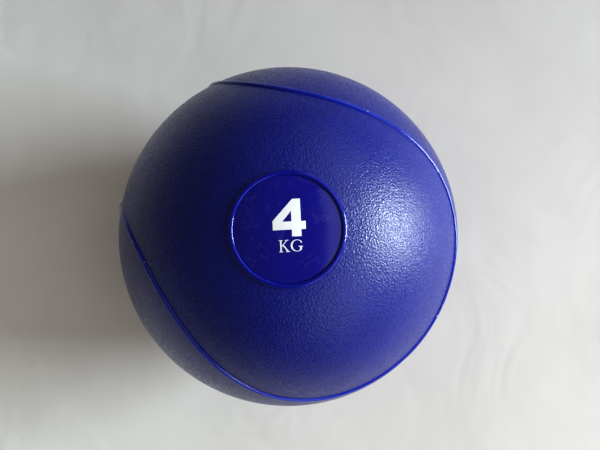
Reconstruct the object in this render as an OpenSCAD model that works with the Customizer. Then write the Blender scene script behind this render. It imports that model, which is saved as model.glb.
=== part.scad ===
// Medicine ball: a sand-filled rubber ball lying on its flattened rest patch.
// Millimetres, +Z up. The origin is the centre of the rest patch.
// The badge faces +Z and reads upright with +Y up. The filling valve looks out sideways.

/* [Ball] */
// Outside diameter of the cover
ball_dia = 230; // [200:1:280]
// Depth the ball presses flat where it rests
rest_flat = 2; // [1:0.25:4]

/* [Layers] */
// Thickness of the two cover panels
cover_t = 4; // [3:0.25:5]
// Thickness of the rubber carcass the panels are glued to
carcass_t = 2; // [1:0.25:3]
// Thickness of the wound nylon thread
winding_t = 1; // [0.5:0.25:2]
// Thickness of the inner bladder
bladder_t = 1.5; // [1:0.25:3]
// Drop from the lowest point of the valve's flange to the top of the loose sand
sand_drop = 12.4; // [4:0.2:30]

/* [Seam] */
// Angle from the middle of a panel's waist to the seam
waist_angle = 24.1; // [20:0.1:30]
// Sideways swing of the seam around each lobe, in degrees
seam_swing = 26.65; // [22:0.05:30]
// Width of the bead that covers the joint
bead_w = 2.8; // [2.2:0.1:4]
// Height of the bead above the cover
bead_h = 1.2; // [0.8:0.1:2]

/* [Badge] */
// Diameter of the badge at the crest of its raised ring
badge_dia = 57.4; // [45:0.1:70]
// Thickness of the raised ring's round edge
ring_w = 3; // [2.6:0.1:4]
// Height of the raised ring above the cover
ring_h = 1.1; // [0.8:0.1:1.3]
// Thickness of the smooth disc inside the ring
disc_t = 2; // [1:0.1:2.4]
// Depth of the disc's face below the cover's surface
disc_recess = 0.3; // [0.1:0.05:0.5]
// Height of the printed number
numeral_h = 18.7; // [10:0.1:19]
// Height of the printed letters
letter_h = 5.9; // [4:0.1:7]

/* [Valve] */
// Bore of the valve, which the peg plugs
bore_dia = 5; // [4:0.25:6.5]
// Wall of the valve sleeve around the peg's head
sleeve_wall = 1.7; // [1.2:0.1:2.5]
// Width of the collar's flat around the sleeve
collar_w = 4.6; // [4:0.1:6]
// Length of the peg below its head
peg_len = 9; // [7:0.5:11]
// Diameter of the peg's head
peg_head_dia = 8; // [7.5:0.1:9.5]

/* [Hidden] */

$fn = 96;

// Radii of the layers, from the outside in. A thin line of glue lies between neighbours.
glue = 0.1;
ball_r = ball_dia / 2;
centre_z = ball_r - rest_flat;
cover_in_r = ball_r - cover_t;
carcass_r = cover_in_r - glue;
winding_r = carcass_r - carcass_t - glue;
bladder_r = winding_r - winding_t - glue;
fill_r = bladder_r - bladder_t - glue;

// Seam
seam_turn = 231;
seam_steps = 240;
joint_w = 1.2;
bead_arc_steps = 8;
cone_reach = 2.2 * ball_r;

// Badge
badge_r = badge_dia / 2;
ring_tongue_w = 1.6;
pocket_r = badge_r + ring_tongue_w / 2 + glue;
disc_r = badge_r - ring_tongue_w / 2 - glue;
disc_face_r = ball_r - disc_recess;
pocket_floor_r = disc_face_r - disc_t - glue;

// Print on the badge, placed from the badge's middle. Widths keep to the height of the print.
ink_t = 0.35;
ink_gap = 0.05;
numeral_w = 0.877 * numeral_h;
numeral_left = -7.2;
numeral_base = -3.9;
letter_w = 0.93 * letter_h;
letter_base = numeral_base - 1.6 - letter_h;
letter_k_left = -4.6;
letter_gap = 0.35;
letter_g_left = letter_k_left + letter_w + letter_gap;

// Valve, measured along its own axis from the centre of the ball
peg_clearance = 0.05;
head_gap = 0.35;
head_t = 1.8;
peg_head_r = peg_head_dia / 2;
mouth_r = peg_head_r + head_gap;
sleeve_r = mouth_r + sleeve_wall;
sleeve_top = ball_r - 0.2;
mouth_floor = sleeve_top - head_t - 0.2;
collar_r = sleeve_r + glue + collar_w;
collar_rim_r = 1.1;
washer_t = 1.2;
washer_r = sleeve_r + 5;
flange_t = 1.6;
flange_r = sleeve_r + 7;
flange_top_r = fill_r - washer_t - glue;
flange_base = flange_top_r - flange_t - 1;
sand_top = -flange_r - sand_drop;

cover_panel_badge();
cover_panel_valve();
seam_bead();
badge_ring();
badge_disc();
numeral_4();
letter_k();
letter_g();
carcass();
nylon_winding();
bladder();
sand_fill();
valve_collar();
valve_sleeve();
valve_washer();
valve_peg();

// ---- Shared frames ----

// Moves a shape built around the ball's centre to its place above the rest patch.
module at_centre() {
    translate([0, 0, centre_z]) children();
}

// The seam's own frame: its Y is the badge axis, its X the valve axis, its Z the badge panel's waist.
module at_seam() {
    at_centre() rotate([90, 0, seam_turn]) children();
}

// The valve's own frame: its Z points out through the ball's wall.
module at_valve() {
    at_centre() rotate([0, 90, seam_turn]) children();
}

// ---- Layers ----

// A sphere pressed flat underneath, about the ball's centre.
module pressed_ball(r) {
    difference() {
        sphere(r = r);
        translate([0, 0, -2 * ball_r - (r - rest_flat)])
            cylinder(r = ball_r, h = 2 * ball_r);
    }
}

// A closed layer of the wall.
module layer(outer_r, thickness) {
    difference() {
        pressed_ball(outer_r);
        pressed_ball(outer_r - thickness);
    }
}

// The hole through a layer for the valve's sleeve.
module sleeve_hole(r) {
    at_valve() cylinder(r = r, h = 2 * ball_r);
}

module carcass() {
    color("#2b2b2e") difference() {
        at_centre() layer(carcass_r, carcass_t);
        sleeve_hole(sleeve_r + glue);
    }
}

module nylon_winding() {
    color("#d9d4c4") difference() {
        at_centre() layer(winding_r, winding_t);
        sleeve_hole(sleeve_r + glue);
    }
}

module bladder() {
    color("#1d1d1f") difference() {
        at_centre() layer(bladder_r, bladder_t);
        sleeve_hole(sleeve_r + glue);
    }
}

// Loose sand lying in the bottom of the bladder.
module sand_fill() {
    color("#c2a878") at_centre() intersection() {
        pressed_ball(fill_r);
        translate([0, 0, sand_top - 2 * ball_r]) cylinder(r = ball_r, h = 2 * ball_r);
    }
}

// ---- Seam ----

function unit(v) = v / norm(v);

// Direction from the ball's centre to the seam at turn t, which runs from 0 to 720 degrees.
function seam_dir(t) =
    let (from_waist = 90 - (90 - waist_angle) * cos(t))
    let (around = t / 2 + seam_swing * sin(2 * t))
    [
        sin(from_waist) * cos(around),
        sin(from_waist) * sin(around),
        cos(from_waist)
    ];

// Direction square to the seam along the surface, towards the badge panel.
function seam_side(t) = unit(cross(seam_dir(t + 0.5) - seam_dir(t - 0.5), seam_dir(t)));

function step_turn(i) = 720 * i / seam_steps;

// A point near the seam: aside is measured along the surface of the cover.
function seam_point(t, aside, r) = (seam_dir(t) - seam_side(t) * aside / ball_r) * r;

// A cone from the ball's centre through the edge of one panel, in the seam's frame.
module panel_cone() {
    half = seam_steps / 2;
    quarter = seam_steps / 4;
    edge = [
        for (i = [0 : seam_steps - 1])
            unit(seam_point(step_turn(i), joint_w / 2 + glue, 1)) * cone_reach
    ];
    apex = seam_steps;
    sides = [for (i = [0 : seam_steps - 1]) [apex, (i + 1) % seam_steps, i]];
    upper_cap = [
        for (i = [0 : quarter - 2]) [i, i + 1, half - i - 1, half - i]
    ];
    lower_cap = [
        for (i = [0 : quarter - 2])
            [half + i, half + i + 1, seam_steps - i - 1, (seam_steps - i) % seam_steps]
    ];
    tips = [
        [quarter - 1, quarter, quarter + 1],
        [half + quarter - 1, half + quarter, half + quarter + 1]
    ];
    polyhedron(
        points = concat(edge, [[0, 0, 0]]),
        faces = concat(sides, upper_cap, lower_cap, tips),
        convexity = 6
    );
}

module cover_panel_badge() {
    color("#2a30c8") difference() {
        intersection() {
            at_centre() layer(ball_r, cover_t);
            at_seam() panel_cone();
        }
        badge_pocket();
    }
}

// The second panel is the first one turned over about the axis between badge and valve.
module cover_panel_valve() {
    color("#2a30c8") difference() {
        intersection() {
            at_centre() layer(ball_r, cover_t);
            at_seam() rotate(180, [1, 1, 0]) panel_cone();
        }
        sleeve_hole(collar_r + glue);
    }
}

// Section of the bead as [aside, radius]: a stem in the joint under a round head.
function bead_section() =
    let (head_base = ball_r + glue)
    let (stem = joint_w / 2)
    concat(
        [[stem, carcass_r + 2 * glue], [stem, head_base]],
        [
            for (k = [0 : bead_arc_steps])
                let (a = 180 * k / bead_arc_steps)
                [bead_w / 2 * cos(a), head_base + (bead_h - glue) * sin(a)]
        ],
        [[-stem, head_base], [-stem, carcass_r + 2 * glue]]
    );

module seam_bead() {
    section = bead_section();
    count = len(section);
    points = [
        for (i = [0 : seam_steps - 1])
            for (p = section)
                seam_point(step_turn(i), p[0], p[1])
    ];
    faces = [
        for (i = [0 : seam_steps - 1])
            let (here = i * count)
            let (next = ((i + 1) % seam_steps) * count)
            for (k = [0 : count - 1])
                let (m = (k + 1) % count)
                for (face = [[here + k, next + k, next + m], [here + k, next + m, here + m]])
                    face
    ];
    color("#2430e0") at_seam() polyhedron(points = points, faces = faces, convexity = 8);
}

// ---- Badge ----

// Section of the raised ring's round edge, which stands ring_h above the cover.
module ring_section(spare) {
    crest_angle = asin(badge_r / ball_r);
    tube_centre = ball_r + ring_h - ring_w / 2;
    translate([badge_r, tube_centre * cos(crest_angle)]) circle(r = ring_w / 2 + spare);
}

// The room the badge takes out of its panel.
module badge_pocket() {
    at_centre() {
        difference() {
            cylinder(r = pocket_r, h = 2 * ball_r);
            sphere(r = pocket_floor_r);
        }
        rotate_extrude() ring_section(glue);
    }
}

// Height of a sphere's surface at a distance from the badge's axis.
function sphere_z(r, aside) = sqrt(r * r - aside * aside);

// The ring's tongue fills the gap between the disc's edge and the pocket's wall.
module badge_ring() {
    inner_r = badge_r - ring_tongue_w / 2;
    outer_r = badge_r + ring_tongue_w / 2;
    foot_r = pocket_floor_r + glue;
    color("#2a34d8") at_centre() rotate_extrude() union() {
        ring_section(0);
        polygon([
            [inner_r, sphere_z(foot_r, inner_r)],
            [outer_r, sphere_z(foot_r, outer_r)],
            [outer_r, sphere_z(ball_r, outer_r)],
            [inner_r, sphere_z(ball_r, inner_r)]
        ]);
    }
}

module badge_disc() {
    color("#20268f") at_centre() difference() {
        intersection() {
            laid_sphere(disc_face_r);
            cylinder(r = disc_r, h = 2 * ball_r);
        }
        laid_sphere(disc_face_r - disc_t);
        rotate_extrude() ring_section(glue);
    }
}

// A sphere whose poles lie level, clear of the badge.
module laid_sphere(r) {
    rotate([90, 0, 0]) sphere(r = r);
}

// A thin layer of ink in the outline of the children, lying on the disc.
module ink() {
    color("#f2f2ee") at_centre() intersection() {
        difference() {
            laid_sphere(disc_face_r + ink_gap + ink_t);
            laid_sphere(disc_face_r + ink_gap);
        }
        linear_extrude(height = 2 * ball_r) children();
    }
}

// A plain four: a slanted stroke, a bar across and an upright stem, around a three-sided hole.
module numeral_4() {
    stem = [0.572, 0.86];
    bar = [0.184, 0.4];
    shoulder = 0.425;
    ink() translate([numeral_left, numeral_base]) scale([numeral_w, numeral_h])
        difference() {
            polygon([
                [0, bar[0]], [stem[0], bar[0]], [stem[0], 0], [stem[1], 0], [stem[1], bar[0]],
                [1, bar[0]], [1, bar[1]], [stem[1], bar[1]], [stem[1], 1], [0.624, 1],
                [0, shoulder]
            ]);
            polygon([[0.295, bar[1]], [stem[0], bar[1]], [stem[0], 0.681]]);
        }
}

// A plain K on short feet: an upright stem, an arm up to the right and a leg down from the arm.
module letter_k() {
    foot = 0.09;
    stem = [0.13, 0.3];
    head = 1 - foot;
    ink() translate([letter_k_left, letter_base]) scale([letter_w, letter_h])
        polygon([
            [0, 0], [0.43, 0], [0.43, foot], [stem[1], foot], [stem[1], 0.36], [0.4, 0.466],
            [0.68, foot], [0.6, foot], [0.6, 0], [1, 0], [1, foot], [0.9, foot], [0.52, 0.593],
            [0.82, head], [0.95, head], [0.95, 1], [0.58, 1], [0.58, head], [0.66, head],
            [stem[1], 0.528], [stem[1], head], [0.43, head], [0.43, 1], [0, 1], [0, head],
            [stem[0], head], [stem[0], foot], [0, foot]
        ]);
}

// A plain G: a round stroke open at the right, ending in an upright with a short bar.
module letter_g() {
    outer = letter_h / 2;
    stroke = 0.17 * letter_h;
    ink() translate([letter_g_left + outer, letter_base + outer]) {
        difference() {
            circle(r = outer);
            circle(r = outer - stroke);
            polygon([[0, 0.06 * letter_h], [letter_h, 0.06 * letter_h], [letter_h, letter_h * 0.7]]);
        }
        translate([outer - 1.4 * stroke, -outer + 0.5 * stroke]) square([stroke * 1.3, outer]);
        translate([0.06 * letter_h, -0.04 * letter_h]) square([outer, stroke * 0.7]);
    }
}

// ---- Valve ----

// A round ring seated in the cover, with a raised rim around the valve.
module valve_collar() {
    color("#1f27b0") at_valve() difference() {
        union() {
            intersection() {
                difference() {
                    cylinder(r = collar_r, h = 2 * ball_r);
                    sphere(r = cover_in_r);
                }
                sphere(r = ball_r);
            }
            translate([0, 0, ball_r - collar_rim_r / 2])
                rotate_extrude() translate([collar_r - 1.6, 0]) circle(r = collar_rim_r);
        }
        cylinder(r = sleeve_r + glue, h = 2 * ball_r);
    }
}

// The rubber tube the ball is filled through, with a flange inside the bladder.
module valve_sleeve() {
    color("#18181a") at_valve() difference() {
        union() {
            cylinder(r = sleeve_r, h = sleeve_top);
            intersection() {
                cylinder(r = flange_r, h = 2 * ball_r);
                sphere(r = flange_top_r);
            }
        }
        cylinder(r = 2 * flange_r, h = 2 * flange_base, center = true);
        cylinder(r = bore_dia / 2, h = 2 * ball_r);
        translate([0, 0, mouth_floor]) cylinder(r = mouth_r, h = ball_r);
    }
}

// A stiff washer between the sleeve's flange and the bladder.
module valve_washer() {
    color("#8d9094") at_valve() difference() {
        intersection() {
            cylinder(r = washer_r, h = 2 * ball_r);
            sphere(r = fill_r);
        }
        sphere(r = fill_r - washer_t);
        cylinder(r = sleeve_r + glue, h = 2 * ball_r);
    }
}

// The peg that plugs the bore and is pulled out to fill the ball.
module valve_peg() {
    peg_r = bore_dia / 2 - peg_clearance;
    head_base = mouth_floor + 0.03;
    tip_t = 2;
    slot_w = 1;
    slot_deep = 0.7;
    color("#2c34c4") at_valve() difference() {
        union() {
            translate([0, 0, head_base]) cylinder(r = peg_head_r, h = head_t);
            translate([0, 0, head_base - peg_len]) cylinder(r = peg_r, h = peg_len + head_t / 2);
            translate([0, 0, head_base - peg_len - tip_t])
                cylinder(r1 = peg_r / 2, r2 = peg_r, h = tip_t);
        }
        translate([-peg_head_r, -slot_w / 2, head_base + head_t - slot_deep])
            cube([2 * peg_head_r, slot_w, 2 * slot_deep]);
    }
}
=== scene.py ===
import math
import random

import bmesh
import bpy
import numpy as np
from mathutils import Matrix, Vector


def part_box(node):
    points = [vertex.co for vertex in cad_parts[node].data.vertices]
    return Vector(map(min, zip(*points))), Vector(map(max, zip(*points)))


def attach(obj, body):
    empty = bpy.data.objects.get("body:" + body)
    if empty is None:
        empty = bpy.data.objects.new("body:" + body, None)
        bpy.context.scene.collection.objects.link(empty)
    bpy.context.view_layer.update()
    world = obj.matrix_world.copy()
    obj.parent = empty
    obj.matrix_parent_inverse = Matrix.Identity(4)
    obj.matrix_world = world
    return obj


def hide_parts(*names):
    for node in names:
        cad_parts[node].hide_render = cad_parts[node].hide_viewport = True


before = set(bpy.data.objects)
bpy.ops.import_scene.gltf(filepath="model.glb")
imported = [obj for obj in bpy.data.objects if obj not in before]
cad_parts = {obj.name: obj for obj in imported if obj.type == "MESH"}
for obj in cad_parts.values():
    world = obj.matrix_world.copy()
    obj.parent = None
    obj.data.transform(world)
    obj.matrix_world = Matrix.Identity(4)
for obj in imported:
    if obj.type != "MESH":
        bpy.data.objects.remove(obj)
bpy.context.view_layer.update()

BALL = "ball"
MM = 0.001

# ---- Sizes in metres, worked out from the frame ----

panel_low, panel_high = (Vector(c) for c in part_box("cover_panel_valve"))
carcass_low, carcass_high = (Vector(c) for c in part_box("carcass"))
ring_low, ring_high = (Vector(c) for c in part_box("badge_ring"))
disc_high = Vector(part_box("badge_disc")[1])
collar_low, collar_high = (Vector(c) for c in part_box("valve_collar"))
numeral_low, numeral_high = (Vector(c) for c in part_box("numeral_4"))
k_low, k_high = (Vector(c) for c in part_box("letter_k"))
g_low, g_high = (Vector(c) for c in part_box("letter_g"))

CENTRE_Z = (panel_high.z + panel_low.z) / 2
RADIUS = (panel_high.x - panel_low.x) / 2
GLUE = 0.1 * MM
COVER_INNER = (carcass_high.x - carcass_low.x) / 2 + GLUE
JOINT_GAP = 0.7 * MM

# The seam is the same curve as in the solid model. The valve faces the way the seam is turned.
WAIST_ANGLE = math.radians(24.1)
SEAM_SWING = math.radians(26.65)
SEAM_TURN = math.radians(231)
VALVE_AXIS = np.array([math.cos(SEAM_TURN), math.sin(SEAM_TURN), 0.0])
BADGE_AXIS = np.array([0.0, 0.0, 1.0])
WAIST_AXIS = np.cross(VALVE_AXIS, BADGE_AXIS)
SEAM_AXES = np.array([VALVE_AXIS, BADGE_AXIS, WAIST_AXIS])

RING_THICK = 3 * MM
BADGE_R = (ring_high.x - ring_low.x) / 2 - RING_THICK / 2
DISC_FACE = disc_high.z - CENTRE_Z
POCKET_R = BADGE_R + 0.9 * MM
DISC_THICK = 1.9 * MM
UNDER_DISC = 0.2 * MM
POCKET_FLOOR = DISC_FACE - DISC_THICK - UNDER_DISC
COLLAR_HOLE_R = (collar_high.z - collar_low.z) / 2 + GLUE


# ---- Seam curve ----

def unit(v):
    return v / np.linalg.norm(v, axis=-1, keepdims=True)


def seam_dir(t):
    """Direction from the ball's centre to the seam, where t runs from 0 to 4 pi round the ball."""
    t = np.asarray(t, float)
    from_waist = math.pi / 2 - (math.pi / 2 - WAIST_ANGLE) * np.cos(t)
    around = t / 2 + SEAM_SWING * np.sin(2 * t)
    local = np.stack([
        np.sin(from_waist) * np.cos(around),
        np.sin(from_waist) * np.sin(around),
        np.cos(from_waist),
    ], axis=-1)
    return local @ SEAM_AXES


def seam_side(t):
    """Direction along the surface, square to the seam, into the badge panel."""
    step = 0.004
    along = seam_dir(t + step) - seam_dir(t - step)
    return unit(np.cross(seam_dir(t), along))


SEAM_SAMPLE_COUNT = 1440
SEAM_SAMPLES = seam_dir(np.linspace(0, 4 * math.pi, SEAM_SAMPLE_COUNT + 1)[:-1])


def distance_to_seam(directions):
    """Distance along the surface from each direction to the nearest point of the seam."""
    nearest = np.full(len(directions), -1.0)
    block = 4000
    for start in range(0, len(directions), block):
        part = directions[start:start + block] @ SEAM_SAMPLES.T
        nearest[start:start + block] = part.max(axis=1)
    return np.arccos(np.clip(nearest, -1, 1)) * RADIUS


# ---- Mesh helpers ----

WELD = 0.002 * MM


def add_piece(name, points, faces, material, node):
    """Makes a mesh object from points about the ball's centre, in the place of its CAD node."""
    mesh = bpy.data.meshes.new(name)
    raised = np.asarray(points, float) + np.array([0, 0, CENTRE_Z])
    mesh.from_pydata([tuple(p) for p in raised], [], [tuple(f) for f in faces])
    piece = bpy.data.objects.new(name, mesh)
    bpy.context.scene.collection.objects.link(piece)
    tidy = bmesh.new()
    tidy.from_mesh(mesh)
    bmesh.ops.remove_doubles(tidy, verts=tidy.verts, dist=WELD)
    bmesh.ops.recalc_face_normals(tidy, faces=tidy.faces)
    for face in tidy.faces:
        face.smooth = True
    tidy.to_mesh(mesh)
    tidy.free()
    mesh.materials.append(material)
    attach(piece, BALL)
    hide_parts(node)
    return piece


def grid_faces(rows, columns, start=0):
    """Quads between closed rows of points that are numbered row by row."""
    faces = []
    for i in range(rows - 1):
        for j in range(columns):
            k = (j + 1) % columns
            a = start + i * columns
            faces.append((a + j, a + k, a + columns + k, a + columns + j))
    return faces


def sharpen(piece, degrees):
    """Keeps edges sharper than this crisp in the smooth shading."""
    edges = bmesh.new()
    edges.from_mesh(piece.data)
    for edge in edges.edges:
        if len(edge.link_faces) == 2 and edge.calc_face_angle(0) > math.radians(degrees):
            edge.smooth = False
    edges.to_mesh(piece.data)
    edges.free()


# ---- Cover panels ----

SEAM_COLUMNS = 260
WAIST_COLUMNS = 28
EDGE_ROWS = [0, 0.2, 0.45, 0.8, 1.2, 1.7, 2.4, 3.4, 5.0]
FIELD_ROWS = 44
INNER_EDGE_ROWS = [0, 3.0]
INNER_FIELD_ROWS = 16
POCKET_FLOOR_SHARES = [1.0, 0.66, 0.33, 0.0]
EDGE_DROP = 0.35 * MM
EDGE_DROP_WIDTH = 3.2 * MM
REST_SOFTNESS = 0.25 * MM


def rest_radius(directions, radius):
    """Radius of a sphere pressed flat underneath, with a soft turn into the flat."""
    flat = RADIUS - CENTRE_Z
    level = radius - flat
    down = np.maximum(-directions[:, 2], 1e-6)
    far_off = 10 * radius
    plane = np.where(directions[:, 2] < 0, level / down, far_off)
    gap = np.clip(0.5 + 0.5 * (plane - radius) / REST_SOFTNESS, 0, 1)
    smooth = plane * (1 - gap) + radius * gap - REST_SOFTNESS * gap * (1 - gap)
    return np.minimum(smooth, np.minimum(plane, radius))


def outer_radius(directions):
    """Radius of the cover's face, which dips a little towards the seam."""
    near = np.clip(1 - distance_to_seam(directions) / EDGE_DROP_WIDTH, 0, 1)
    return rest_radius(directions, RADIUS) - EDGE_DROP * near ** 2


def panel_boundary():
    """The edge of the upper half of the badge panel: the seam, then the line across its waist."""
    t = np.linspace(0, 2 * math.pi, SEAM_COLUMNS + 1)
    seam = unit(seam_dir(t) + seam_side(t) * (JOINT_GAP / RADIUS))
    first, last = seam[0], seam[-1]
    waist = []
    for i in range(1, WAIST_COLUMNS):
        share = i / WAIST_COLUMNS
        span = math.acos(float(first @ last))
        weight_a = math.sin((1 - share) * span) / math.sin(span)
        weight_b = math.sin(share * span) / math.sin(span)
        waist.append(last * weight_a + first * weight_b)
    return np.vstack([seam, np.array(waist)])


def lobe_rows(boundary, lobe, hole_angle, edge_rows, field_rows):
    """Directions in rows from a hole (or the middle) of a lobe out to its boundary."""
    reach = np.arccos(np.clip(boundary @ lobe, -1, 1))
    sideways = unit(boundary - np.outer(boundary @ lobe, lobe))
    edge = np.array(edge_rows[::-1]) * MM / RADIUS
    shares = np.linspace(0, 1, field_rows + 1)[:-1]
    rows = []
    for share in shares:
        rows.append(hole_angle + (reach - edge[0] - hole_angle) * share)
    for inset in edge:
        rows.append(reach - inset)
    return [
        np.outer(np.cos(a), lobe) + np.sin(a)[:, None] * sideways
        for a in rows
    ]


def half_panel(boundary, lobe, hole):
    """Points and faces of one closed half of a panel. hole is None, "pocket" or "through"."""
    columns = len(boundary)
    hole_r = {None: 0.0, "pocket": POCKET_R, "through": COLLAR_HOLE_R}[hole]
    angle = math.asin(hole_r / RADIUS)
    outer = lobe_rows(boundary, lobe, angle, EDGE_ROWS, FIELD_ROWS)
    inner_angle = math.asin(hole_r / COVER_INNER) if hole == "through" else 0.0
    inner = lobe_rows(boundary, lobe, inner_angle, INNER_EDGE_ROWS, INNER_FIELD_ROWS)
    points, faces = [], []

    def add_rows(rows, radius_of):
        start = len(points)
        for row in rows:
            points.extend(row * radius_of(row)[:, None])
        faces.extend(grid_faces(len(rows), columns, start))
        return start

    def join(first, second, skip_waist=False):
        last = SEAM_COLUMNS if skip_waist else columns
        for j in range(last):
            k = (j + 1) % columns
            faces.append((first + j, first + k, second + k, second + j))

    def inner_radius(row):
        return rest_radius(row, COVER_INNER)

    outer_start = add_rows(outer, outer_radius)
    outer_edge = outer_start + (len(outer) - 1) * columns
    inner_start = add_rows(inner, inner_radius)
    inner_edge = inner_start + (len(inner) - 1) * columns
    join(outer_edge, inner_edge, skip_waist=True)
    if hole == "through":
        join(outer_start, inner_start)
    if hole == "pocket":
        floor_angle = math.asin(POCKET_R / POCKET_FLOOR)
        sideways = unit(outer[0] - np.outer(outer[0] @ lobe, lobe))
        floor = [
            math.cos(floor_angle * s) * lobe + math.sin(floor_angle * s) * sideways
            for s in POCKET_FLOOR_SHARES
        ]
        floor_start = add_rows(floor, lambda row: np.full(len(row), POCKET_FLOOR))
        join(outer_start, floor_start)
    return points, faces


def turned(vectors):
    """Turns the badge panel over onto the valve panel."""
    axis = unit(VALVE_AXIS + BADGE_AXIS)
    return 2 * np.outer(vectors @ axis, axis) - vectors


def flipped(vectors):
    """Mirrors across the level plane through the ball's centre."""
    return vectors * np.array([1, 1, -1])


def make_panel(name, halves, material, node):
    """Joins the two closed halves of a panel at its waist."""
    points, faces = [], []
    for boundary, lobe, hole in halves:
        some, more = half_panel(boundary, lobe, hole)
        start = len(points)
        points += some
        faces += [tuple(start + i for i in face) for face in more]
    panel = add_piece(name, points, faces, material, node)
    drop_flat_faces(panel)
    sharpen(panel, 50)
    return panel


def drop_flat_faces(piece):
    """Removes the faces that shrink to nothing where a row closes to a point."""
    mesh = bmesh.new()
    mesh.from_mesh(piece.data)
    bmesh.ops.dissolve_degenerate(mesh, edges=mesh.edges, dist=WELD)
    mesh.to_mesh(piece.data)
    mesh.free()


# ---- Seam bead ----

BEAD_HALF = 1.4 * MM
BEAD_HIGH = 1.12 * MM
BEAD_BURIED = 0.3 * MM
BEAD_CROWN = 0.85
BEAD_STEM_HALF = 0.6 * MM
BEAD_FOOT_GAP = 0.2 * MM
BEAD_STEPS = 560
BEAD_ARC = 12
HEIGHT_WAVES = [17, 29, 53, 91]
HEIGHT_RIPPLE = 0.101 * MM
WIDTH_WAVES = [13, 37, 61, 83]
WIDTH_RIPPLE = 0.084 * MM


def ripple(t, seed, size, waves):
    """A small uneven wave along the seam that closes on itself."""
    rng = random.Random(seed)
    total = np.zeros_like(t)
    for wave in waves:
        start = rng.uniform(0, 2 * math.pi)
        total += np.sin(t * wave / 2 + start) * rng.uniform(0.4, 1)
    return size * total / len(waves)


def make_bead(material):
    """A rounded bead along the whole seam, on a stem that fills the joint between the panels."""
    t = np.linspace(0, 4 * math.pi, BEAD_STEPS + 1)[:-1]
    middle = seam_dir(t)
    side = seam_side(t)
    high = BEAD_HIGH + ripple(t, 3, HEIGHT_RIPPLE, HEIGHT_WAVES)
    half = BEAD_HALF + ripple(t, 8, WIDTH_RIPPLE, WIDTH_WAVES)
    base = RADIUS - BEAD_BURIED
    foot = COVER_INNER + BEAD_FOOT_GAP
    section = []
    for k in range(BEAD_ARC + 1):
        a = math.pi * k / BEAD_ARC
        rise = math.sin(a) ** BEAD_CROWN
        section.append((half * math.cos(a), base + (high + BEAD_BURIED) * rise))
    stem = np.full_like(t, BEAD_STEM_HALF)
    level = np.full_like(t, base)
    section.append((-stem, level))
    section.append((-stem, np.full_like(t, foot)))
    section.append((stem, np.full_like(t, foot)))
    section.append((stem, level))
    points = []
    for i in range(BEAD_STEPS):
        for aside, radius in section:
            points.append((middle[i] + side[i] * aside[i] / RADIUS) * radius[i])
    count = len(section)
    faces = []
    for i in range(BEAD_STEPS):
        here = i * count
        after = ((i + 1) % BEAD_STEPS) * count
        for k in range(count):
            m = (k + 1) % count
            faces.append((here + k, after + k, after + m, here + m))
    bead = add_piece("seam_bead_moulded", points, faces, material, "seam_bead")
    sharpen(bead, 60)
    return bead


# ---- Badge ----

LATHE_STEPS = 200
RING_HIGH = 0.95 * MM
RING_STEPS = 26
RING_OUTER_CURVE = 1.15
RING_INNER_CURVE = 0.8
RING_OUTER_FOOT = -0.1 * MM
RING_OUTER_DEPTH = 0.6 * MM
RING_INNER_DEPTH = 0.5 * MM
RING_TONGUE_DEPTH = 1.5 * MM
DISC_LAP = 0.1 * MM
DISC_RIM = 0.25 * MM
DISC_RIM_STEPS = 5
DISC_ROWS = 24


def lathe(profile, poles=None):
    """Turns a line of (distance from axis, height) round +Z, closed on itself or by two poles."""
    points = []
    for distance, height in profile:
        for j in range(LATHE_STEPS):
            a = 2 * math.pi * j / LATHE_STEPS
            points.append((distance * math.cos(a), distance * math.sin(a), height))
    faces = grid_faces(len(profile), LATHE_STEPS)
    last = (len(profile) - 1) * LATHE_STEPS
    if poles:
        top = len(points)
        bottom = top + 1
        points += [(0, 0, height) for height in poles]
    for j in range(LATHE_STEPS):
        k = (j + 1) % LATHE_STEPS
        if poles:
            faces += [(j, k, top), (last + k, last + j, bottom)]
        else:
            faces.append((last + j, last + k, k, j))
    return points, faces


def on_ball(angle, radius):
    """(Distance from axis, height) of a point at an angle from +Z, about the ball's centre."""
    return (radius * math.sin(angle), radius * math.cos(angle))


def make_ring(material):
    """A low ring with a broad crown, an easy outer slope and a steep inner edge at the disc."""
    middle = math.asin(BADGE_R / RADIUS)
    half = RING_THICK / 2
    face = DISC_FACE - RADIUS
    section = []
    for i in range(RING_STEPS + 1):
        a = math.pi * i / RING_STEPS
        outside = a < math.pi / 2
        foot = RING_OUTER_FOOT if outside else face
        curve = RING_OUTER_CURVE if outside else RING_INNER_CURVE
        rise = max(math.sin(a), 0.0) ** curve
        section.append((half * math.cos(a), foot + (RING_HIGH - foot) * rise))
    tongue = half / 2
    section.append((-half, face - RING_INNER_DEPTH))
    section.append((-tongue, face - RING_INNER_DEPTH))
    section.append((-tongue, face - RING_TONGUE_DEPTH))
    section.append((tongue, face - RING_TONGUE_DEPTH))
    section.append((tongue, -RING_OUTER_DEPTH))
    section.append((half, -RING_OUTER_DEPTH))
    profile = [on_ball(middle + aside / RADIUS, RADIUS + height) for aside, height in section]
    points, faces = lathe(profile)
    ring = add_piece("badge_ring_moulded", points, faces, material, "badge_ring")
    sharpen(ring, 60)
    return ring


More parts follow.
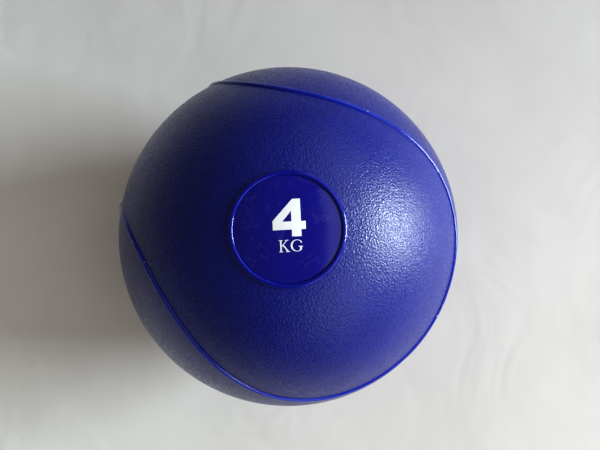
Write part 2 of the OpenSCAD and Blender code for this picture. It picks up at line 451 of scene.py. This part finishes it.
def make_disc(material):
    """The disc's face curves with the ball and rounds over just under the ring's inner edge."""
    edge = math.asin(BADGE_R / RADIUS) - (RING_THICK / 2 - DISC_LAP) / RADIUS
    rim_angle = DISC_RIM / DISC_FACE
    under = DISC_FACE - DISC_THICK
    spread = [(edge - rim_angle) * i / DISC_ROWS for i in range(1, DISC_ROWS)]
    profile = [on_ball(angle, DISC_FACE) for angle in spread]
    for step in range(DISC_RIM_STEPS + 1):
        a = math.pi / 2 * step / DISC_RIM_STEPS
        angle = edge - rim_angle * (1 - math.sin(a))
        profile.append(on_ball(angle, DISC_FACE - DISC_RIM * (1 - math.cos(a))))
    profile.append(on_ball(edge, under))
    profile += [on_ball(angle, under) for angle in reversed(spread)]
    points, faces = lathe(profile, poles=(DISC_FACE, under))
    disc = add_piece("badge_disc_smooth", points, faces, material, "badge_disc")
    sharpen(disc, 50)
    return disc


# ---- Print on the badge ----

INK_LOW = 0.02 * MM
INK_HIGH = 0.09 * MM
INK_GRID = 1.2 * MM


def ink_piece(name, outlines, material, node):
    """A thin layer of ink in the shape of flat outlines, laid on the disc's curved face."""
    mesh = bmesh.new()
    loops = []
    for outline in outlines:
        verts = [mesh.verts.new((x, y, 0)) for x, y in outline]
        for here, after in zip(verts, verts[1:] + verts[:1]):
            loops.append(mesh.edges.new((here, after)))
    bmesh.ops.triangle_fill(mesh, use_beauty=True, edges=loops)
    xs = [x for outline in outlines for x, _ in outline]
    ys = [y for outline in outlines for _, y in outline]
    for values, axis in ((xs, 0), (ys, 1)):
        at = min(values) + INK_GRID
        while at < max(values):
            normal = Vector((1, 0, 0)) if axis == 0 else Vector((0, 1, 0))
            everything = list(mesh.verts) + list(mesh.edges) + list(mesh.faces)
            bmesh.ops.bisect_plane(mesh, geom=everything, plane_co=normal * at, plane_no=normal)
            at += INK_GRID
    mesh.verts.ensure_lookup_table()
    mesh.verts.index_update()
    flat = [(v.co.x, v.co.y) for v in mesh.verts]
    faces = [tuple(v.index for v in f.verts) for f in mesh.faces]
    rim = [tuple(v.index for v in e.verts) for e in mesh.edges if len(e.link_faces) == 1]
    mesh.free()
    count = len(flat)
    points = []
    for height in (INK_HIGH, INK_LOW):
        r = DISC_FACE + height
        points += [(x, y, math.sqrt(r * r - x * x - y * y)) for x, y in flat]
    solid = list(faces)
    solid += [tuple(count + i for i in reversed(f)) for f in faces]
    solid += [(a, b, count + b, count + a) for a, b in rim]
    piece = add_piece(name, points, solid, material, node)
    sharpen(piece, 40)
    return piece


def fitted(outline, low, high):
    """Places an outline drawn in a unit box into the box of its CAD node."""
    return [
        (low.x + x * (high.x - low.x), low.y + y * (high.y - low.y))
        for x, y in outline
    ]


def make_numeral(material):
    outside = [
        (0, 0.184), (0.572, 0.184), (0.572, 0), (0.86, 0), (0.86, 0.184), (1, 0.184),
        (1, 0.4), (0.86, 0.4), (0.86, 1), (0.624, 1), (0, 0.425),
    ]
    counter = [(0.295, 0.4), (0.572, 0.681), (0.572, 0.4)]
    outlines = [fitted(o, numeral_low, numeral_high) for o in (outside, counter)]
    return ink_piece("numeral_4_print", outlines, material, "numeral_4")


def make_letter_k(material):
    outline = [
        (0, 0), (0.37, 0), (0.37, 0.035), (0.255, 0.07), (0.255, 0.44), (0.35, 0.53), (0.72, 0.07),
        (0.61, 0.035), (0.61, 0), (1, 0), (1, 0.035), (0.88, 0.07), (0.43, 0.605), (0.73, 0.93),
        (0.88, 0.965), (0.88, 1), (0.56, 1), (0.56, 0.965), (0.66, 0.93), (0.255, 0.52),
        (0.255, 0.93), (0.37, 0.965), (0.37, 1), (0, 1), (0, 0.965), (0.12, 0.93), (0.12, 0.07),
        (0, 0.035),
    ]
    return ink_piece("letter_k_print", [fitted(outline, k_low, k_high)], material, "letter_k")


def make_letter_g(material):
    outline = []
    steps = 40
    start, end = math.radians(38), math.radians(318)
    for i in range(steps + 1):
        a = start + (end - start) * i / steps
        outline.append((0.5 + 0.5 * math.cos(a), 0.5 + 0.5 * math.sin(a)))
    outline += [(0.87, 0.38), (0.97, 0.415), (0.97, 0.45), (0.6, 0.45), (0.6, 0.415), (0.73, 0.38)]
    inside_start, inside_end = math.radians(300), math.radians(50)
    for i in range(steps + 1):
        a = inside_start + (inside_end - inside_start) * i / steps
        outline.append((0.52 + 0.38 * math.cos(a), 0.5 + 0.455 * math.sin(a)))
    outline += [(0.84, 0.7), (0.88, 0.7)]
    return ink_piece("letter_g_print", [fitted(outline, g_low, g_high)], material, "letter_g")


# ---- Materials ----

class Nodes:
    """A small helper that builds one material's nodes."""

    def __init__(self, name):
        self.material = bpy.data.materials.new(name)
        self.material.use_nodes = True
        self.tree = self.material.node_tree
        self.tree.nodes.clear()
        self.out = self.tree.nodes.new("ShaderNodeOutputMaterial")
        self.shader = self.tree.nodes.new("ShaderNodeBsdfPrincipled")
        self.link(self.shader.outputs["BSDF"], self.out.inputs["Surface"])
        coordinates = self.tree.nodes.new("ShaderNodeTexCoord")
        self.place = coordinates.outputs["Object"]

    def link(self, source, target):
        self.tree.links.new(source, target)

    def noise(self, scale, detail=4.0, roughness=0.55, distortion=0.0):
        node = self.tree.nodes.new("ShaderNodeTexNoise")
        node.inputs["Scale"].default_value = scale
        node.inputs["Detail"].default_value = detail
        node.inputs["Roughness"].default_value = roughness
        node.inputs["Distortion"].default_value = distortion
        self.link(self.place, node.inputs["Vector"])
        return node.outputs["Fac"]

    def cells(self, scale, feature="SMOOTH_F1", where=None, smooth=0.5, output="Distance"):
        node = self.tree.nodes.new("ShaderNodeTexVoronoi")
        node.feature = feature
        node.inputs["Scale"].default_value = scale
        if feature == "SMOOTH_F1":
            node.inputs["Smoothness"].default_value = smooth
        self.link(where or self.place, node.inputs["Vector"])
        return node.outputs[output]

    def ramp(self, value, stops):
        node = self.tree.nodes.new("ShaderNodeValToRGB")
        ramp = node.color_ramp
        while len(ramp.elements) < len(stops):
            ramp.elements.new(0.5)
        for element, (at, colour) in zip(ramp.elements, stops):
            element.position = at
            element.color = (*colour, 1)
        self.link(value, node.inputs["Fac"])
        return node.outputs["Color"]

    def span(self, value, low, high, out_low, out_high):
        node = self.tree.nodes.new("ShaderNodeMapRange")
        node.inputs["From Min"].default_value = low
        node.inputs["From Max"].default_value = high
        node.inputs["To Min"].default_value = out_low
        node.inputs["To Max"].default_value = out_high
        self.link(value, node.inputs["Value"])
        return node.outputs["Result"]

    def maths(self, kind, a, b):
        node = self.tree.nodes.new("ShaderNodeMath")
        node.operation = kind
        for socket, value in zip(node.inputs, (a, b)):
            if isinstance(value, (int, float)):
                socket.default_value = value
            else:
                self.link(value, socket)
        return node.outputs["Value"]

    def warp(self, scale, amount):
        """The object's own coordinates, pushed about by noise."""
        node = self.tree.nodes.new("ShaderNodeTexNoise")
        node.inputs["Scale"].default_value = scale
        node.inputs["Detail"].default_value = 2
        self.link(self.place, node.inputs["Vector"])
        centred = self.tree.nodes.new("ShaderNodeVectorMath")
        centred.operation = "SUBTRACT"
        centred.inputs[1].default_value = (0.5, 0.5, 0.5)
        self.link(node.outputs["Color"], centred.inputs[0])
        scaled = self.tree.nodes.new("ShaderNodeVectorMath")
        scaled.operation = "SCALE"
        scaled.inputs["Scale"].default_value = amount
        self.link(centred.outputs["Vector"], scaled.inputs[0])
        added = self.tree.nodes.new("ShaderNodeVectorMath")
        added.operation = "ADD"
        self.link(self.place, added.inputs[0])
        self.link(scaled.outputs["Vector"], added.inputs[1])
        return added.outputs["Vector"]

    def mix(self, factor, a, b, blend="MIX"):
        node = self.tree.nodes.new("ShaderNodeMix")
        node.data_type = "RGBA"
        node.blend_type = blend
        sockets = {s.identifier: s for s in node.inputs}
        for key, value in (("Factor_Float", factor), ("A_Color", a), ("B_Color", b)):
            if isinstance(value, (int, float)):
                sockets[key].default_value = value
            elif isinstance(value, tuple):
                sockets[key].default_value = (*value, 1)
            else:
                self.link(value, sockets[key])
        return next(s for s in node.outputs if s.identifier == "Result_Color")

    def bump(self, height, distance):
        node = self.tree.nodes.new("ShaderNodeBump")
        node.inputs["Distance"].default_value = distance
        node.inputs["Strength"].default_value = 1.0
        self.link(height, node.inputs["Height"])
        return node.outputs["Normal"]

    def finish(self, colour, roughness, normal, specular=0.5):
        self.link(colour, self.shader.inputs["Base Color"])
        self.link(roughness, self.shader.inputs["Roughness"])
        self.link(normal, self.shader.inputs["Normal"])
        self.shader.inputs["Specular IOR Level"].default_value = specular
        return self.material


def cover_material():
    """Pebbled blue rubber: fine uneven grains, shiny on top, with painted shade darkening the
    creases between them.
    """
    n = Nodes("cover_pebbled_blue")
    where = n.warp(900, 0.0007)
    grain = n.cells(820, where=where, smooth=0.3)
    fine = n.cells(1500, where=where, smooth=0.3)
    speck = n.noise(950, detail=2, roughness=0.6)
    patches = n.noise(14, detail=3)
    streaks = n.noise(60, detail=5, distortion=0.6)
    tone = n.ramp(patches, [(0.3, (0.003, 0.0085, 0.2)), (0.7, (0.004, 0.0135, 0.25))])
    # Painted shade: the colour drops to three quarters where the grains meet, in the creases
    # between them.
    painted_crease_shade = n.span(grain, 0.2, 0.7, 1.0, 0.75)
    colour = n.mix(1.0, tone, painted_crease_shade, "MULTIPLY")
    worn = n.span(streaks, 0.6, 0.82, 0.0, 0.1)
    colour = n.mix(worn, colour, (0.035, 0.055, 0.28))
    shiny = n.span(speck, 0.42, 0.6, 0.42, 0.19)
    rough = n.maths("ADD", shiny, n.span(streaks, 0.3, 0.7, -0.03, 0.05))
    height = n.maths("ADD", n.span(grain, 0.0, 0.8, 0.8, 0.0), n.maths("MULTIPLY", fine, -0.3))
    height = n.maths("ADD", height, n.maths("MULTIPLY", speck, 1.25))
    normal = n.bump(height, 0.17 * MM)
    return n.finish(colour, rough, normal)


def smooth_blue(name, dark, light, flecks=False):
    """Smooth, clear-looking blue without grain, as on the bead and the ring."""
    n = Nodes(name)
    tone = n.ramp(n.noise(40, detail=3), [(0.3, dark), (0.7, light)])
    if flecks:
        pale = n.span(n.noise(330, detail=1), 0.735, 0.76, 0.0, 0.85)
        tone = n.mix(pale, tone, (0.62, 0.68, 0.85))
    rough = n.span(n.noise(300, detail=4), 0.3, 0.7, 0.09, 0.17)
    normal = n.bump(n.noise(700, detail=2), 0.012 * MM)
    return n.finish(tone, rough, normal)


def disc_material():
    """Smooth glossy blue with faint scuffs."""
    n = Nodes("badge_glossy_blue")
    tone = n.ramp(n.noise(25, detail=3), [(0.3, (0.003, 0.003, 0.17)), (0.7, (0.004, 0.005, 0.22))])
    scuffs = n.span(n.noise(130, detail=7, roughness=0.75, distortion=2.0), 0.56, 0.72, 0.0, 0.34)
    colour = n.mix(scuffs, tone, (0.09, 0.09, 0.4))
    rough = n.span(n.noise(120, detail=4), 0.3, 0.7, 0.12, 0.2)
    normal = n.bump(n.noise(70, detail=2), 0.1 * MM)
    return n.finish(colour, rough, normal)


def ink_material():
    """White print with a soft sheen."""
    n = Nodes("ink_white")
    tone = n.ramp(n.noise(500, detail=3), [(0.35, (0.92, 0.91, 0.94)), (0.65, (0.96, 0.95, 0.98))])
    rough = n.span(n.noise(900, detail=3), 0.3, 0.7, 0.34, 0.46)
    normal = n.bump(n.noise(2500, detail=2), 0.01 * MM)
    return n.finish(tone, rough, normal, specular=0.4)


def plain_rubber(name, dark, light, rough_low, rough_high):
    """Plain moulded rubber or plastic with a very fine grain."""
    n = Nodes(name)
    tone = n.ramp(n.noise(90, detail=4), [(0.3, dark), (0.7, light)])
    rough = n.span(n.noise(400, detail=4), 0.3, 0.7, rough_low, rough_high)
    normal = n.bump(n.noise(1600, detail=3), 0.03 * MM)
    return n.finish(tone, rough, normal)


def thread_material():
    """Nylon thread wound over and over in crossing directions."""
    n = Nodes("wound_nylon")
    wave = n.tree.nodes.new("ShaderNodeTexWave")
    wave.inputs["Scale"].default_value = 320
    wave.inputs["Distortion"].default_value = 2.5
    wave.inputs["Detail"].default_value = 2
    n.link(n.warp(30, 0.02), wave.inputs["Vector"])
    tone = n.ramp(wave.outputs["Fac"], [(0.2, (0.42, 0.39, 0.3)), (0.8, (0.74, 0.7, 0.6))])
    rough = n.span(n.noise(500), 0.3, 0.7, 0.45, 0.65)
    normal = n.bump(wave.outputs["Fac"], 0.15 * MM)
    return n.finish(tone, rough, normal)


def sand_material():
    """Dry sand with grains of mixed colour."""
    n = Nodes("loose_sand")
    grain = n.cells(1100, feature="F1", output="Color")
    spread = n.ramp(n.noise(700, detail=5), [(0.3, (0.36, 0.26, 0.14)), (0.7, (0.7, 0.56, 0.36))])
    colour = n.mix(0.25, spread, grain, "MULTIPLY")
    rough = n.span(n.noise(500), 0.3, 0.7, 0.8, 0.95)
    normal = n.bump(n.cells(1100), 0.4 * MM)
    return n.finish(colour, rough, normal)


def give(node_names, material):
    """Puts a material on the CAD nodes that stay as they are."""
    for name in node_names:
        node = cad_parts[name]
        if not node.material_slots:
            node.data.materials.append(material)
        for slot in node.material_slots:
            slot.material = material


# ---- Stage, light and camera ----

VIEW_TURN = math.radians(-2.9)
VIEW_RIGHT = Vector((math.cos(VIEW_TURN), math.sin(VIEW_TURN), 0))
VIEW_UP = Vector((-VIEW_RIGHT.y, VIEW_RIGHT.x, 0))
BALL_CENTRE = Vector((0, 0, CENTRE_Z))

FLOOR_HALF = 3.0
FLOOR_STEPS = 60
LIGHT_DISTANCE = 2.5

# In ball radii: how far off the camera is, and how far beside the ball's centre it looks.
CAMERA_DISTANCE = 3.228
AIM_RIGHT = 0.0664
AIM_UP = 0.0645

# How far the camera leans from straight above the ball, for each unit of height.
LEAN_RIGHT = 0.0083
LEAN_UP = -0.0284

# In millimetres, as camera makers give them.
LENS = 31.2
SENSOR = 36


def floor_material():
    """A pale sheet with painted light and shade: lighter on the left where the ball's shadow lies,
    darker on the right under the window and darker towards the far side, with faint soft creases.
    """
    n = Nodes("pale_sheet")
    axes = n.tree.nodes.new("ShaderNodeSeparateXYZ")
    n.link(n.place, axes.inputs["Vector"])
    # Painted light and shade: these masks lift the sheet's colour on the left, in the ball's
    # shadow, and darken it on the right and towards the far side.
    far_painted_shade = n.span(axes.outputs["Y"], -0.25, 0.3, 0.0, 1.0)
    side = n.span(axes.outputs["X"], -0.3, 0.1, 0.0, 1.0)
    near_painted_light_and_shade = n.mix(side, (0.9, 0.875, 0.84), (0.7, 0.635, 0.6))
    far_painted_light_and_shade = n.mix(side, (0.63, 0.61, 0.6), (0.5, 0.46, 0.455))
    tone = n.mix(far_painted_shade, near_painted_light_and_shade, far_painted_light_and_shade)
    cloud = n.span(n.noise(6, detail=4), 0.3, 0.7, 0.94, 1.04)
    tone = n.mix(1.0, tone, cloud, "MULTIPLY")
    rough = n.span(n.noise(300), 0.3, 0.7, 0.75, 0.9)
    creases = n.noise(9, detail=2, distortion=1.5)
    normal = n.bump(creases, 1.2 * MM)
    return n.finish(tone, rough, normal)


def make_floor():
    """A flat square sheet under the ball."""
    mesh = bpy.data.meshes.new("floor")
    row = FLOOR_STEPS + 1
    marks = [FLOOR_HALF * (i / FLOOR_STEPS - 0.5) * 2 for i in range(row)]
    points = [(x, y, 0) for x in marks for y in marks]
    faces = [
        (i * row + j, (i + 1) * row + j, (i + 1) * row + j + 1, i * row + j + 1)
        for i in range(FLOOR_STEPS) for j in range(FLOOR_STEPS)
    ]
    mesh.from_pydata(points, [], faces)
    mesh.materials.append(floor_material())
    floor = bpy.data.objects.new("floor", mesh)
    bpy.context.scene.collection.objects.link(floor)


def area_light(name, direction, elevation, width, height, power, colour):
    """A soft rectangular light that looks at the ball, in degrees round from the view's right."""
    turn = math.radians(direction)
    lift = math.radians(elevation)
    level = VIEW_RIGHT * math.cos(turn) + VIEW_UP * math.sin(turn)
    towards = level * math.cos(lift) + Vector((0, 0, math.sin(lift)))
    data = bpy.data.lights.new(name, "AREA")
    data.shape = "RECTANGLE"
    data.size = width
    data.size_y = height
    data.energy = power
    data.color = colour
    light = bpy.data.objects.new(name, data)
    light.location = BALL_CENTRE + towards * LIGHT_DISTANCE
    light.rotation_mode = "QUATERNION"
    light.rotation_quaternion = towards.to_track_quat("Z", "Y")
    bpy.context.scene.collection.objects.link(light)


def make_lights():
    """One bright window low on the right, the paler room round it, and a warm dim rest."""
    area_light("window", 4, 22, 1.1, 0.7, 96, (0.81, 0.94, 0.985))
    area_light("window_above", 50, 34, 2.0, 1.2, 8, (0.9, 0.96, 1.0))
    area_light("window_below", -48, 34, 2.0, 1.2, 13, (0.92, 0.97, 1.0))
    area_light("wall", 5, 56, 2.4, 1.0, 6, (0.95, 0.96, 1.0))
    world = bpy.data.worlds.new("room")
    world.use_nodes = True
    background = world.node_tree.nodes["Background"]
    background.inputs["Color"].default_value = (1.0, 0.86, 0.68, 1)
    background.inputs["Strength"].default_value = 0.15
    bpy.context.scene.world = world
    bpy.context.scene.view_settings.view_transform = "Standard"
    bpy.context.scene.view_settings.look = "Medium High Contrast"


def make_camera():
    """Looks almost straight down on the badge."""
    back = (VIEW_RIGHT * LEAN_RIGHT + VIEW_UP * LEAN_UP + Vector((0, 0, 1))).normalized()
    up = (VIEW_UP - back * VIEW_UP.dot(back)).normalized()
    right = up.cross(back)
    place = BALL_CENTRE + back * CAMERA_DISTANCE * RADIUS
    target = BALL_CENTRE + right * AIM_RIGHT * RADIUS + up * AIM_UP * RADIUS
    away = (place - target).normalized()
    cam_right = up.cross(away).normalized()
    cam_up = away.cross(cam_right)
    data = bpy.data.cameras.new("camera")
    data.lens = LENS
    data.sensor_width = SENSOR
    data.clip_start = 0.01
    data.clip_end = 50
    camera = bpy.data.objects.new("camera", data)
    turn = Matrix((cam_right, cam_up, away)).transposed()
    camera.matrix_world = Matrix.Translation(place) @ turn.to_4x4()
    bpy.context.scene.collection.objects.link(camera)
    bpy.context.scene.camera = camera


# ---- Build ----

cover = cover_material()
bead = smooth_blue("bead_smooth_blue", (0.001, 0.012, 0.29), (0.0015, 0.019, 0.38), flecks=True)
ring = smooth_blue("ring_smooth_blue", (0.0008, 0.004, 0.2), (0.001, 0.006, 0.25))
badge = disc_material()
ink = ink_material()
black = plain_rubber("black_rubber", (0.012, 0.012, 0.013), (0.024, 0.024, 0.026), 0.5, 0.65)
peg = plain_rubber("peg_blue", (0.015, 0.018, 0.26), (0.022, 0.026, 0.34), 0.35, 0.5)
washer = plain_rubber("washer_grey", (0.2, 0.21, 0.22), (0.3, 0.31, 0.32), 0.4, 0.55)

upper = panel_boundary()
make_panel("cover_panel_badge_pebbled", [
    (upper, BADGE_AXIS, "pocket"),
    (flipped(upper), -BADGE_AXIS, None),
], cover, "cover_panel_badge")
make_panel("cover_panel_valve_pebbled", [
    (turned(upper), VALVE_AXIS, "through"),
    (turned(flipped(upper)), -VALVE_AXIS, None),
], cover, "cover_panel_valve")
make_bead(bead)
make_ring(ring)
make_disc(badge)
make_numeral(ink)
make_letter_k(ink)
make_letter_g(ink)

give(["valve_collar"], ring)
give(["valve_peg"], peg)
give(["valve_sleeve", "carcass", "bladder"], black)
give(["valve_washer"], washer)
give(["nylon_winding"], thread_material())
give(["sand_fill"], sand_material())

make_floor()
make_lights()
make_camera()
